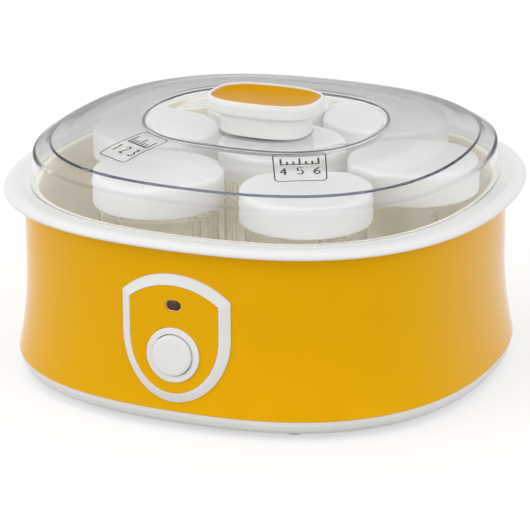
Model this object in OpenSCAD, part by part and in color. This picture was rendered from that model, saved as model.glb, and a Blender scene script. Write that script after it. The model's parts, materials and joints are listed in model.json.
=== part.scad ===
// Yogurt maker: an oblong electric warmer with seven capped glass jars under a clear lid.
// Millimetres. The origin is the centre of the resting surface, under the knob. +Z is up
// and the control panel faces -Y.

/* [Plan outline] */
// How much longer the housing is across than from front to back
oblong = 0.026; // [0:0.002:0.04]
// How flat the four sides are, where 0 is an ellipse
squareness = 0.030; // [0:0.002:0.04]

/* [Jars] */
// Outer radius of a jar
jar_r = 30.5; // [27:0.1:34]
// Height of a jar without its cap
jar_h = 85.3; // [76:0.1:96]
// Wall of a jar
jar_wall = 2.8; // [2:0.1:3.5]
// Floor of a jar
jar_floor_t = 3; // [2:0.2:6]
// How far a cap stands out past its jar
cap_overhang = 3; // [2.7:0.1:3.4]
// Wall of a cap
cap_wall = 1.8; // [1.2:0.1:2]
// Gap between a cap's lower edge and the height of the lid's seat
cap_foot_gap = 0.9; // [0.5:0.1:3]
// How far the jars' mouths stand above the lid's seat
jar_rise = 14.6; // [12:0.1:18]
// Gap between the caps of the middle row
middle_gap = 5.5; // [3:0.5:8]
// Gap between the caps of the front pair
front_gap = 14; // [10:0.5:16]
// Gap between the caps of the back pair
back_gap = 1; // [0.6:0.2:6]
// How much nearer the front pair stands to the middle row than two caps side by side
front_tuck = 0.5; // [0:0.5:3]
// How much nearer the back pair stands to the middle row than two caps side by side
back_tuck = 4; // [0:0.5:5]

/* [Chamber] */
// Mean room between the middle row of jars and the chamber's wall
side_room = 10.05; // [5:0.05:14]
// Gap between the right-hand jar and the chamber's wall
side_gap = 1.05; // [0.6:0.05:5]
// How much narrower the chamber is at its floor
chamber_draft = 2; // [1:0.1:2.4]
// Wall of the chamber
chamber_wall = 2; // [1.6:0.1:2.4]
// Width of the flange that hangs the chamber in the collar
flange_w = 4; // [3.4:0.1:5]
// Thickness of that flange
flange_t = 2.1; // [1.6:0.1:2.4]

/* [Housing] */
// Height of the four feet
foot_h = 3.5; // [2.5:0.5:6]
// Radius of a foot
foot_r = 8; // [6:0.5:10]
// Distance of a foot's edge from the lower edge of the base band
foot_inset = 5.6; // [4:0.2:9]
// Height of the white base band
base_h = 7.5; // [6:0.5:12]
// How far that band draws in towards its lower edge
base_tuck = 4.2; // [3:0.1:6]
// Thickness of the base's floor
base_floor_t = 2.5; // [2:0.1:3]
// Height of the jars' floor above the coloured shell's lower edge
heater_room = 19; // [16:0.5:24]
// Height of the waist above the shell's lower edge
waist_h = 47; // [40:1:60]
// How far the shell's lower edge stands out past its waist
flare = 5.2; // [2:0.2:7]
// Wall of the shell and the base
wall = 2.4; // [1.6:0.1:3]
// How far the collar's outer lip stands out past the shell
collar_overhang = 10.6; // [9:0.2:14]
// Thickness of the collar at its seat
collar_t = 3.6; // [3:0.1:5]
// How far the collar reaches down inside the shell
collar_lip = 5.2; // [3:0.2:8]
// Thickness of that inner lip
collar_lip_t = 2.9; // [2:0.1:5]

/* [Heater] */
// Radius of the aluminium plate under the chamber's floor
spreader_r = 74; // [64:1:80]
// Thickness of that plate
spreader_t = 1.5; // [1:0.1:2.5]
// Mean radius of the heating ring
element_r = 55; // [40:1:62]
// Diameter of the heating ring's sheath
element_d = 5; // [3:0.5:6]
// Sheet of the steel cover under the heater
cover_t = 0.8; // [0.6:0.1:1.2]

/* [Lid] */
// How far the lid's foot reaches past the chamber's flange
lid_overlap = 1.2; // [0.8:0.1:1.8]
// Wall of the lid
lid_wall = 2; // [1.5:0.1:2.2]
// How far the upright skirt's top lies below the caps' tops
skirt_tuck = 0.2; // [0:0.1:1]
// How much narrower the skirt is at its top
skirt_draft = 1.9; // [0.5:0.1:2.4]
// Width of the sloping shoulder between skirt and top
shoulder_w = 8.8; // [6:0.2:12]
// Height of that shoulder
shoulder_h = 5.6; // [4:0.2:10]
// Room between the caps' tops and the floor of the central recess
recess_room = 5.9; // [5.3:0.1:10]
// Mean radius of the central recess
recess_r = 60.2; // [50:0.2:70]
// Depth of the central recess
recess_depth = 6.6; // [5:0.2:9]
// How much longer the recess is across than from front to back
recess_oblong = 0.08; // [0.03:0.01:0.12]

/* [Knob] */
// Mean radius of the knob's rim
knob_r = 25.2; // [22:0.1:32]
// Height of the knob above the recess
knob_h = 19.6; // [17:0.2:26]
// Mean radius of the knob's neck
neck_r = 20; // [14:0.1:21]
// Height of the knob's rim
rim_h = 8.6; // [6:0.2:9]
// Width of the white edge around the insert
rim_edge = 2.2; // [1.5:0.1:3]
// Depth of the insert's hollow
insert_dip = 4.6; // [2:0.2:5]
// How much longer the knob is across than from front to back
knob_oblong = 0.21; // [0.1:0.01:0.26]
// How full the knob's outline is, where 2 is an oval
knob_fullness = 2.75; // [2:0.05:3.2]
// Radius of the knob's screw
knob_screw_r = 2; // [1.5:0.25:3]

/* [Control panel] */
// Half width of the panel's white frame
frame_w = 29.3; // [27:0.1:32]
// Height of the frame's top above the shell's lower edge
frame_top = 71.5; // [68:0.5:76]
// Drop from the frame's top to its two corners
frame_arch = 11.9; // [8:0.1:16]
// Height at which the frame's lower curve begins
frame_bend = 39; // [34:0.5:44]
// Height of the frame's lowest point
frame_foot = 5; // [4:0.5:9]
// Width of the frame's face
frame_band = 5.2; // [4:0.1:6]
// How far the panel's field stands out from the shell
panel_t = 3; // [2.5:0.1:4]
// Height of the button's centre above the shell's lower edge
button_rise = 29.7; // [28:0.1:32]
// Radius of the button's cap
button_r = 10.5; // [8:0.1:11]
// Gap around the cap
button_gap = 0.35; // [0.3:0.05:0.6]
// How far the cap stands out of its bezel
button_proud = 2.2; // [2.1:0.1:3.5]
// Travel of the button
button_travel = 2; // [1:0.1:2]
// Width of the bezel's face
bezel_band = 3.4; // [3:0.1:4]
// Height of the indicator above the button's centre
led_rise = 25.6; // [24:0.1:27]

/* [Hidden] */

$fn = 48;
outline_steps = 64;
knob_steps = 48;
cut = 1;          // overshoot of a cut past the face it opens
hair = 0.1;       // gap between pieces that rest on each other
slack = 0.4;      // gap between pieces that slide past each other
screw_r = 1.5;
screw_slack = 0.05;

// Heights above the resting surface
base_top = foot_h + base_h;
base_inside = foot_h + base_floor_t;
jar_stand = base_top + heater_room;
chamber_under = jar_stand - chamber_wall;
jar_bottom = jar_stand + hair;
jar_top = jar_bottom + jar_h;
seat = jar_top - jar_rise;
body_top = seat - collar_t;
body_h = body_top - base_top;
cap_under = jar_top + 3 * hair;
cap_top = cap_under + cap_wall;
cap_foot = seat + cap_foot_gap;
skirt_top = cap_top - skirt_tuck;
lid_edge = skirt_top + shoulder_h;
recess_floor = cap_top + recess_room;
ring_top = recess_floor + recess_depth;
dome_h = ring_top - lid_edge;
knob_top = recess_floor + hair + knob_h;
waist = base_top + waist_h;
button_z = base_top + button_rise;

// Plan outlines, as [extra length across, flatness of the sides]
// The knob's is [half length, half depth, fullness]
body_plan = [oblong, squareness];
recess_plan = [recess_oblong, squareness];
knob_plan = [1 + knob_oblong, 1 - knob_oblong, knob_fullness];

// Share of the mean radius at an angle
function share(plan, a) = len(plan) == 2
    ? 1 + plan[0] * cos(2 * a) - plan[1] * cos(4 * a)
    : pow(pow(abs(cos(a)) / plan[0], plan[2]) + pow(abs(sin(a)) / plan[1], plan[2]), -1 / plan[2]);

// Mean radii, from the jars outwards
cap_r = jar_r + cap_overhang;
middle_pitch = 2 * cap_r + middle_gap;
chamber_floor_r = (middle_pitch + jar_r + side_room) / share(body_plan, 0);
chamber_r = chamber_floor_r + chamber_draft;
flange_r = chamber_r + flange_w;
collar_in = chamber_r + chamber_wall + slack;
waist_r = collar_in + collar_lip_t + slack + wall;
collar_r = waist_r + collar_overhang;
lid_r = flange_r + lid_overlap;
skirt_top_r = lid_r - skirt_draft;
lid_top_r = skirt_top_r - shoulder_w;
base_foot_r = waist_r + flare - base_tuck;
foot_reach = base_foot_r - foot_inset - foot_r;

// A point of a profile [radius, height, plan] turned to an angle
function turned_point(p, a) = let(plan = len(p) > 2 ? p[2] : body_plan)
    [p[0] * share(plan, a) * cos(a), p[0] * share(plan, a) * sin(a), p[1]];

// Every point of a profile with the same plan
function on_plan(profile, plan) = [for (p = profile) [p[0], p[1], plan]];

// Outer radius of the coloured shell at a height
function body_r(z) = waist_r + flare * pow(max(0, (waist - z) / waist_h), 2);

// Lean of the shell's front or back wall at a height, in degrees
function wall_lean(z) = atan(2 * flare * max(0, waist - z) / pow(waist_h, 2) * share(body_plan, 90));

// Turns a profile around the plan outline. The material lies to the right of the profile's
// direction. A capped profile starts and ends with flat caps, and an open one closes on itself.
module turned(profile, capped = true, steps = outline_steps) {
    n = len(profile);
    points = [for (i = [0:steps - 1], p = profile) turned_point(p, 360 * i / steps)];
    sides = [for (i = [0:steps - 1], j = [0:(capped ? n - 2 : n - 1)], half = [0, 1])
        let(next = (i + 1) % steps, k = (j + 1) % n)
        half == 0 ? [i * n + j, next * n + k, i * n + k] : [i * n + j, next * n + j, next * n + k]];
    caps = capped ? [[for (i = [steps - 1:-1:0]) i * n], [for (i = [0:steps - 1]) i * n + n - 1]] : [];
    polyhedron(points = points, faces = concat(sides, caps), convexity = 6);
}

// Places children on the shell's wall, with +Z out of the wall and +Y up along it
module on_wall(angle, z) {
    r = body_r(z) * share(body_plan, angle);
    translate([r * cos(angle), r * sin(angle), z])
        rotate([0, 0, angle + 90])
            rotate([90 - wall_lean(z), 0, 0]) children();
}

// Copies children to the four screw posts
module at_posts() {
    for (a = [30, 150, 210, 330]) rotate([0, 0, a]) translate([post_reach, 0, 0]) children();
}

post_reach = chamber_floor_r - 17.5;
post_r = 4.5;
pad_r = 6;
post_foot = base_inside + 3;
head_r = 3.1;
head_h = 2.4;
head_seat = foot_h + 3.1;
screw_top = chamber_under - 4;

// ---- Base ----

peg_r = 2.5;
peg_slack = 0.1;
foot_angles = [240, 300, 120, 60];

// White pan that closes the bottom, with a lip that locates the shell
module base_pan() {
    lip_out = body_r(base_top + base_lip) - wall - slack;
    lip_in = lip_out - wall;
    band_r = base_foot_r + base_tuck - 0.5;
    color("whitesmoke") difference() {
        union() {
            turned([
                [lip_in - 1, base_inside], [lip_in, base_inside + 1], [lip_in, base_top + base_lip],
                [lip_out, base_top + base_lip], [lip_out, base_top], [band_r, base_top],
                [band_r - 0.3, base_top - base_h * 0.35], [band_r - 1.1, base_top - base_h * 0.65],
                [band_r - 2.3, base_top - base_h * 0.88], [base_foot_r, foot_h]]);
            at_posts() translate([0, 0, base_inside - cut])
                cylinder(r = pad_r, h = post_foot - base_inside + cut);
        }
        at_posts() translate([0, 0, foot_h - cut]) cylinder(r = screw_r + 0.3, h = post_foot);
        at_posts() translate([0, 0, foot_h - cut]) cylinder(r = head_r + 0.4, h = head_seat - foot_h + cut);
        for (a = foot_angles) rotate([0, 0, a]) translate([foot_reach, 0, foot_h - cut])
            cylinder(r = peg_r + peg_slack, h = base_floor_t + 2 * cut);
    }
}
base_lip = 5;

// Rubber foot with a peg that plugs into the base
module foot(a) {
    color("gainsboro") rotate([0, 0, a]) translate([foot_reach, 0, 0]) rotate_extrude() polygon([
        [0, 0], [foot_r - 1.5, 0], [foot_r - 0.5, 0.5], [foot_r, 1.5], [foot_r, foot_h], [peg_r, foot_h],
        [peg_r, base_inside + 0.2], [peg_r + 0.8, base_inside + 0.2], [peg_r, base_inside + 2],
        [0, base_inside + 2]]);
}

// Four screws that pull the chamber's posts down onto the base
module base_screws() {
    color("silver") at_posts() {
        translate([0, 0, head_seat - hair - head_h]) cylinder(r = head_r, h = head_h);
        translate([0, 0, head_seat - hair - cut]) cylinder(r = screw_r, h = screw_top - head_seat + cut);
    }
}

// ---- Shell and collar ----

gland_z = base_top + 14.5;
gland_r = 5.8;
window_half = 15.5;
window_low = -14.5;
window_high = 31;

// Coloured shell, a flared band with a window behind the panel and a hole for the cord gland
module body_shell() {
    rises = [1, 0.8, 0.62, 0.55, 0.45, 0.35, 0.25, 0.16, 0.08, 0];
    outer = [for (t = rises) let(z = base_top + t * body_h) [body_r(z), z]];
    inner = [for (i = [len(rises) - 1:-1:0]) let(z = base_top + rises[i] * body_h) [body_r(z) - wall, z]];
    color("goldenrod") difference() {
        turned(concat(outer, inner), capped = false);
        on_wall(270, button_z) translate([-window_half, window_low, -wall * 3])
            cube([2 * window_half, window_high - window_low, wall * 6]);
        on_wall(90, gland_z) translate([0, 0, -wall * 3]) cylinder(r = gland_r + 0.2, h = wall * 6);
    }
}

// White collar with the rolled outer lip, which carries the chamber's flange on a ledge
module collar() {
    lip_out = collar_in + collar_lip_t;
    ledge = seat - flange_t;
    color("white") turned([
        [collar_in, ledge], [flange_r, ledge], [flange_r, seat], [lid_r + 2, seat],
        [collar_r - 6.5, seat + 0.9], [collar_r - 3.2, seat + 0.6], [collar_r - 1, seat - 0.5],
        [collar_r, seat - 1.9], [collar_r - 0.4, seat - 3.0], [collar_r - 1.8, body_top],
        [lip_out, body_top], [lip_out, body_top - collar_lip], [collar_in, body_top - collar_lip]],
        capped = false);
}

// ---- Chamber ----

bay_half = 18;
bay_wall = 2;
bay_depth = 19;
bay_front = body_r(button_z) * share(body_plan, 270);
board_high = led_rise + 4;
bay_top = button_z + board_high + 7.4;
boss_reach = spreader_r + 7.5;
boss_r = 3.5;
boss_h = 4;
boss_angles = [0, 120, 240];

// White tub that holds the jars, hung in the collar and screwed down to the base. A bay in its
// front wall makes room for the switch and its board.
module chamber() {
    flange_out = flange_r - hair;
    low_r = chamber_floor_r;
    ledge = seat - flange_t + hair;
    color("antiquewhite") difference() {
        union() {
            turned([
                [low_r - 5, jar_stand], [low_r - 1.5, jar_stand + 1], [low_r, jar_stand + 4],
                [chamber_r - 0.2, seat - 3], [chamber_r + 0.1, seat - 0.9], [chamber_r + 0.9, seat],
                [flange_out, seat], [flange_out, ledge], [chamber_r + chamber_wall, ledge],
                [chamber_r + chamber_wall - 0.2, seat - 5], [low_r + chamber_wall, jar_stand + 4],
                [low_r + 0.2, jar_stand - 0.6], [low_r - 5, chamber_under]]);
            translate([-bay_half, -bay_front + 8, chamber_under])
                cube([2 * bay_half, bay_depth - 8, bay_top - chamber_under]);
            at_posts() translate([0, 0, post_foot + hair])
                cylinder(r = post_r, h = chamber_under - post_foot);
            for (a = boss_angles) rotate([0, 0, a]) translate([boss_reach, 0, chamber_under - boss_h])
                cylinder(r = boss_r, h = boss_h + cut);
        }
        translate([-bay_half + bay_wall, -bay_front - 5, base_inside])
            cube([2 * (bay_half - bay_wall), bay_depth - bay_wall + 5, bay_top - bay_wall - base_inside]);
        at_posts() translate([0, 0, base_inside])
            cylinder(r = screw_r + screw_slack, h = screw_top + 1 - base_inside);
        for (a = boss_angles) rotate([0, 0, a]) translate([boss_reach, 0, chamber_under - boss_h - cut])
            cylinder(r = screw_r + screw_slack, h = boss_h + cut);
    }
}

// ---- Heater ----

spreader_under = chamber_under - hair - spreader_t;
cover_inside = spreader_under - element_d - 2 * hair;
cover_under = cover_inside - cover_t;
cover_r = spreader_r + 2;
sensor_r = 7;
sensor_h = 11;

// Aluminium plate that spreads the heat under the chamber's floor
module heat_spreader() {
    color("lightgray") translate([0, 0, spreader_under]) cylinder(r = spreader_r, h = spreader_t);
}

// Sheathed heating ring with its two ends turned in towards the middle
module heating_element() {
    color("dimgray") translate([0, 0, spreader_under - hair - element_d / 2]) {
        rotate([0, 0, 20]) rotate_extrude(angle = 320) translate([element_r, 0]) circle(d = element_d);
        for (a = [20, 340]) rotate([0, 0, a]) translate([element_r, 0, 0]) rotate([0, -90, 0])
            cylinder(d = element_d, h = 14);
    }
}

// Pressed steel cover that holds the ring against the plate
module heater_cover() {
    rim = chamber_under - boss_h - hair;
    color("silver") difference() {
        rotate_extrude() polygon([
            [sensor_r + 1, cover_under], [cover_r, cover_under], [cover_r, rim - cover_t],
            [boss_reach + 4.5, rim - cover_t], [boss_reach + 4.5, rim], [cover_r - cover_t, rim],
            [cover_r - cover_t, cover_inside], [sensor_r + 1, cover_inside]]);
        for (a = boss_angles) rotate([0, 0, a]) translate([boss_reach, 0, cover_under])
            cylinder(r = screw_r + 0.2, h = 20);
    }
}

// Three screws that hold the heater cover
module heater_screws() {
    under = chamber_under - boss_h - 2 * hair - cover_t;
    color("silver") for (a = boss_angles) rotate([0, 0, a]) translate([boss_reach, 0, under]) {
        translate([0, 0, -1.8]) cylinder(r = 2.7, h = 1.8);
        translate([0, 0, -cut]) cylinder(r = screw_r, h = boss_h + cut);
    }
}

// Round thermostat pressed against the plate through the cover
module thermostat() {
    color("linen") translate([0, 0, spreader_under - hair - sensor_h]) {
        cylinder(r = sensor_r, h = sensor_h);
        for (s = [-1, 1]) translate([s * 3.5 - 0.4, -2.4, -6]) cube([0.8, 4.8, 6 + cut]);
    }
}

fuse_r = 2;
fuse_x = 28;
fuse_half = 6;

// Thermal fuse lying against the plate, with its two leads
module thermal_fuse() {
    color("tan") translate([fuse_x, -fuse_half, spreader_under - hair - fuse_r]) rotate([-90, 0, 0]) {
        cylinder(r = fuse_r, h = 2 * fuse_half);
        translate([0, 0, -6]) cylinder(r = 0.5, h = 2 * fuse_half + 12);
    }
}

// Sprung strap that holds the fuse up to the plate
module fuse_clip() {
    low = spreader_under - hair - 2 * fuse_r - hair;
    color("silver") translate([fuse_x, 0, 0]) difference() {
        translate([-8, -2.5, low - 0.6]) cube([16, 5, spreader_under - low + 0.6 - hair]);
        translate([-fuse_r - hair, -3.5, low]) cube([2 * (fuse_r + hair), 7, 10]);
        for (s = [-1, 1]) translate([s * 6 - (s > 0 ? 2.8 : 3.2), -3.5, low - 1])
            cube([6, 7, spreader_under - low - 0.2]);
    }
}

// ---- Control panel ----

bezel_t = 2;
bezel_r = button_r + button_gap + bezel_band;
tube_wall = 1.5;
tube_r = button_r + button_gap + tube_wall;
tube_end = -1.5;
plunger_r = 2;
plunger_slack = 0.08;
stop_t = 1.2;
stop_face = tube_end - hair;
plunger_in = 2.5;
switch_face = stop_face - stop_t - button_travel - 1.7;
switch_depth = 6;
board_face = switch_face - switch_depth;
board_t = 1.6;
board_w = 29;
board_low = -14;
led_half_w = 3.7;
led_half_h = 2.35;
field_grain = 0.15;

// Half outline of a shield at one parameter from its top to its foot, as [x, height]
function shield_half(w, corner, top, bend, foot, t) =
    let(rise = top - corner, arc_r = (w * w + rise * rise) / (2 * rise))
    t < 0.4 ? [arc_r * sin(asin(w / arc_r) * t / 0.4), top - arc_r + arc_r * cos(asin(w / arc_r) * t / 0.4)]
    : t < 0.6 ? [w, corner + (bend - corner) * (t - 0.4) / 0.2]
    : [w * cos(90 * (t - 0.6) / 0.4), bend - (bend - foot) * sin(90 * (t - 0.6) / 0.4)];

// Whole outline, drawn in from the frame's outer edge by an inset
function shield(inset, n = 20) =
    let(w = frame_w - inset, top = base_top + frame_top - inset, corner = top - frame_arch + inset * 0.6,
        bend = base_top + frame_bend, foot = base_top + frame_foot + inset)
    concat([for (i = [0:n - 1]) shield_half(w, corner, top, bend, foot, i / n)],
        [for (i = [n:-1:1]) let(p = shield_half(w, corner, top, bend, foot, i / n)) [-p[0], p[1]]]);

// A point in front of the shell's front wall, a given distance proud of it
function proud_point(p, proud) =
    let(r = body_r(p[1]) + proud / share(body_plan, 270), a = asin(p[0] / (r * share(body_plan, 270))),
        b = asin(p[0] / (r * share(body_plan, 270 + a))))
    [p[0], -r * share(body_plan, 270 + b) * cos(b), p[1]];

// Faces between two rings of points, then closed lists of them
function band_faces(m, from, to) = [for (i = [0:m - 1], half = [0, 1]) let(k = (i + 1) % m)
    half == 0 ? [from * m + i, to * m + i, to * m + k] : [from * m + i, to * m + k, from * m + k]];

// Coloured field of the panel, which follows the shell's curve
module control_panel() {
    outline = shield(frame_band + hair);
    m = len(outline);
    heart = [0, button_z + 8];
    scales = [1, 0.75, 0.5, 0.25];
    last = len(scales) - 1;
    front = [for (s = scales, p = outline) proud_point(heart + (p - heart) * s, panel_t)];
    back = [for (k = [last:-1:0], p = outline) proud_point(heart + (p - heart) * scales[k], field_grain)];
    rings = 2 * len(scales);
    ends = [proud_point(heart, panel_t), proud_point(heart, field_grain)];
    color("goldenrod") difference() {
        union() {
            polyhedron(points = concat(front, back, ends), convexity = 6, faces = concat(
                [for (k = [0:last - 1]) for (f = band_faces(m, k + 1, k)) f],
                [for (k = [len(scales):rings - 2]) for (f = band_faces(m, k + 1, k)) f],
                band_faces(m, 0, rings - 1),
                [for (i = [0:m - 1]) [last * m + i, last * m + (i + 1) % m, rings * m]],
                [for (i = [0:m - 1]) [len(scales) * m + (i + 1) % m, len(scales) * m + i, rings * m + 1]]));
            on_wall(270, button_z) at_board_posts() translate([0, 0, board_face + hair])
                cylinder(r = 2, h = panel_t - 1 - board_face);
        }
        on_wall(270, button_z) {
            translate([0, 0, board_face]) cylinder(r = tube_r + 0.2, h = panel_t - board_face + 5);
            translate([0, 0, panel_t - 1]) cylinder(r = bezel_r + 0.15, h = 5);
            translate([-led_half_w - 0.2, led_rise - led_half_h - 0.2, -5])
                cube([2 * led_half_w + 0.4, 2 * led_half_h + 0.4, 12]);
        }
    }
}

// Copies children to the panel's posts for the board
module at_board_posts() {
    for (x = [-11.8, 11.8], y = [-11, 18]) translate([x, y, 0]) children();
}

// White frame around the field, with a face that rises inwards
module panel_frame() {
    outer = shield(0);
    inner = shield(frame_band);
    m = len(outer);
    color("white") polyhedron(convexity = 6,
        points = concat([for (p = outer) proud_point(p, field_grain)], [for (p = outer) proud_point(p, 0.9)],
            [for (p = inner) proud_point(p, panel_t + 0.4)], [for (p = inner) proud_point(p, field_grain)]),
        faces = [for (k = [0:3]) for (f = band_faces(m, k, (k + 1) % 4)) f]);
}

// White ring that the button slides in
module button_bezel() {
    face = panel_t - 1 + hair + bezel_t;
    color("white") on_wall(270, button_z) rotate_extrude() polygon([
        [button_r + button_gap, tube_end], [tube_r, tube_end], [tube_r, face - bezel_t],
        [bezel_r, face - bezel_t],
        [bezel_r, face - 0.7], [bezel_r - 0.7, face], [button_r + button_gap + 0.4, face],
        [button_r + button_gap, face - 0.4]]);
}

// Round push button with a stop flange behind the bezel and a plunger into the switch
module power_button() {
    face = panel_t - 1 + hair + bezel_t + button_proud;
    color("whitesmoke") on_wall(270, button_z) rotate_extrude() polygon([
        [0, switch_face - plunger_in], [plunger_r, switch_face - plunger_in], [plunger_r, stop_face - stop_t],
        [tube_r - 0.2, stop_face - stop_t], [tube_r - 0.2, stop_face], [button_r, stop_face],
        [button_r, face - 1.6],
        [button_r - 0.5, face - 0.7], [button_r - 1.6, face - 0.25], [button_r - 4, face], [0, face]]);
}

// Latching push switch behind the button
module push_switch() {
    color("dimgray") on_wall(270, button_z) difference() {
        translate([-6, -6, board_face + hair]) cube([12, 12, switch_depth - hair]);
        translate([0, 0, switch_face - plunger_in - button_travel - 0.5])
            cylinder(r = plunger_r + plunger_slack, h = plunger_in + button_travel + 0.5 + cut);
    }
}

// Circuit board on the panel's posts
module control_board() {
    color("darkgreen") on_wall(270, button_z) difference() {
        translate([-board_w / 2, board_low, board_face - board_t])
            cube([board_w, board_high - board_low, board_t]);
        at_board_posts() translate([0, 0, board_face - board_t - cut])
            cylinder(r = 0.9, h = board_t + 2 * cut);
    }
}

// Indicator lamp on the board, behind the window
module led() {
    color("orangered") on_wall(270, button_z) translate([0, led_rise, board_face + hair])
        rotate_extrude() polygon([
            [0, 0], [2.9, 0], [2.9, 1], [2.5, 1], [2.5, 8.5], [1.8, 10.2], [0.8, 10.9], [0, 11]]);
}

// Dark oval window over the lamp
module led_window() {
    color("saddlebrown") on_wall(270, button_z) translate([0, led_rise, 1])
        linear_extrude(panel_t - 0.9 - hair) {
            square([2 * (led_half_w - led_half_h), 2 * led_half_h], center = true);
            for (s = [-1, 1]) translate([s * (led_half_w - led_half_h), 0]) circle(r = led_half_h);
        }
}

// ---- Mains entry ----

cord_r = 3.1;
block_w = 32;
block_d = 13;
block_h = 12;
block_pitch = 10;
block_back = body_r(gland_z) * share(body_plan, 90) - wall - 19.6;

// Terminal block on the base, next to the cord gland
module terminal_block() {
    color("ivory") difference() {
        translate([-block_w / 2, block_back - block_d, base_inside + hair]) cube([block_w, block_d, block_h]);
        for (n = [-1:1]) translate([n * block_pitch, block_back - block_d / 2, base_inside]) {
            translate([0, 0, block_h / 3]) rotate([90, 0, 0])
                cylinder(r = 1.6, h = block_d + 2 * cut, center = true);
            translate([0, 0, block_h * 0.4]) cylinder(r = 2, h = block_h);
        }
    }
}

// Gland in the rear wall with the bore for the mains cord
module cord_gland() {
    color("white") on_wall(90, gland_z) rotate_extrude() polygon([
        [cord_r, -10], [gland_r, -10], [gland_r + 1.2, -7.5], [gland_r + 1.2, -wall - 0.6],
        [gland_r, -wall - 0.6],
        [gland_r, 0.4], [gland_r + 2, 0.4], [gland_r + 2, 2], [gland_r + 1.2, 2.8], [cord_r, 2.8]]);
}

// ---- Lid ----

washer_t = 1;
insert_t = 1.3;

// Clear lid: a skirt, a sloping shoulder and a low dome with a recess for the knob
module lid_shell() {
    foot_z = seat + hair;
    mid = (lid_top_r + recess_r) / 2;
    mid_plan = (body_plan + recess_plan) / 2;
    color("lightcyan", 0.35) difference() {
        turned([
            [recess_r - 3.2, recess_floor, recess_plan], [recess_r - 1.4, recess_floor + 0.8, recess_plan],
            [recess_r - 0.6, ring_top - 1, recess_plan], [recess_r + 0.6, ring_top, recess_plan],
            [recess_r + 6, ring_top - 0.1, (recess_plan * 3 + body_plan) / 4],
            [mid, ring_top - dome_h * 0.25, mid_plan], [lid_top_r - 10, ring_top - dome_h * 0.7],
            [lid_top_r - 2, lid_edge + 0.6], [lid_top_r, lid_edge - 0.2],
            [lid_top_r + shoulder_w * 0.45, lid_edge - shoulder_h * 0.38], [skirt_top_r - 0.8, skirt_top + 1],
            [skirt_top_r, skirt_top - 0.4], [lid_r, foot_z],
            [lid_r - lid_wall, foot_z], [skirt_top_r - lid_wall, skirt_top - 0.9],
            [lid_top_r + shoulder_w * 0.4 - 0.6, lid_edge - shoulder_h * 0.38 - lid_wall],
            [lid_top_r - 1.5, lid_edge - 0.4 - lid_wall],
            [lid_top_r - 10, ring_top - dome_h * 0.7 - lid_wall],
            [mid, ring_top - dome_h * 0.25 - lid_wall, mid_plan],
            [recess_r + 2.6, ring_top - lid_wall, recess_plan],
            [recess_r + 1.2, ring_top - 1 - lid_wall, recess_plan],
            [recess_r + 0.4, recess_floor + 0.4, recess_plan],
            [recess_r - 2, recess_floor - lid_wall, recess_plan]]);
        translate([0, 0, recess_floor - lid_wall - cut])
            cylinder(r = knob_screw_r + 0.2, h = lid_wall + 2 * cut);
    }
}

// White knob with a rolled rim over a narrower neck
module knob_body() {
    foot_z = recess_floor + hair;
    under = knob_top - rim_h;
    cup = knob_r - rim_edge;
    floor_z = knob_top - insert_dip - insert_t;
    color("white") difference() {
        turned(on_plan([
            [cup - 0.6, floor_z], [cup, floor_z + 0.6], [cup, knob_top - 1], [cup + 0.6, knob_top - 0.2],
            [knob_r - 1, knob_top], [knob_r - 0.3, knob_top - 0.8], [knob_r, knob_top - 2.6],
            [knob_r - 0.1, under + 2], [knob_r - 1, under + 0.5], [knob_r - 2.6, under],
            [neck_r + 0.3, under - 0.4], [neck_r, under - 2], [neck_r, foot_z + 2],
            [neck_r - 0.6, foot_z + 0.6],
            [neck_r - 2, foot_z]], knob_plan), steps = knob_steps);
        translate([0, 0, foot_z - cut]) cylinder(r = knob_screw_r + screw_slack, h = floor_z - foot_z - 1);
    }
}

// Coloured dished insert in the top of the knob
module knob_insert() {
    edge = knob_r - rim_edge - slack / 2;
    floor_z = knob_top - insert_dip - insert_t + hair;
    dish = knob_top - insert_dip;
    color("goldenrod") turned(on_plan([
        [edge * 0.2, dish], [edge * 0.5, dish + insert_dip * 0.05], [edge * 0.76, dish + insert_dip * 0.2],
        [edge * 0.92, dish + insert_dip * 0.5], [edge - 0.5, knob_top - 0.9], [edge, knob_top - 1],
        [edge, floor_z + 0.8], [edge - 0.8, floor_z]], knob_plan), steps = knob_steps);
}

// Clear washer between the knob's screw and the lid
module knob_washer() {
    color("gainsboro") translate([0, 0, recess_floor - lid_wall - hair - washer_t]) difference() {
        cylinder(r = 7, h = washer_t);
        translate([0, 0, -cut]) cylinder(r = knob_screw_r + 0.2, h = washer_t + 2 * cut);
    }
}

// Screw from below that holds the knob
module knob_screw() {
    head = recess_floor - lid_wall - 2 * hair - washer_t;
    reach = knob_top - insert_dip - insert_t - 2 - head;
    color("silver") {
        translate([0, 0, head - 2]) cylinder(r = knob_screw_r * 2.2, h = 2);
        translate([0, 0, head - cut]) cylinder(r = knob_screw_r, h = reach - 1);
    }
}

// ---- Jars ----

// Centres of the seven jars: the middle row from left to right, the front pair, the back pair
jar_shift = side_room - side_gap;
front_x = cap_r + front_gap / 2;
front_y = -2 * cap_r + front_tuck;
back_x = cap_r + back_gap / 2;
back_y = 2 * cap_r - back_tuck;
jar_spots = [[-middle_pitch, 0], [0, 0], [middle_pitch, 0], [-front_x, front_y], [front_x, front_y],
    [-back_x, back_y], [back_x, back_y]];
lip_r = cap_r - cap_wall - slack;
neck_in = jar_r - jar_wall - 0.8;

// Places children at a jar's centre
module at_jar(n) {
    translate([jar_shift + jar_spots[n - 1][0], jar_spots[n - 1][1], 0]) children();
}

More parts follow.
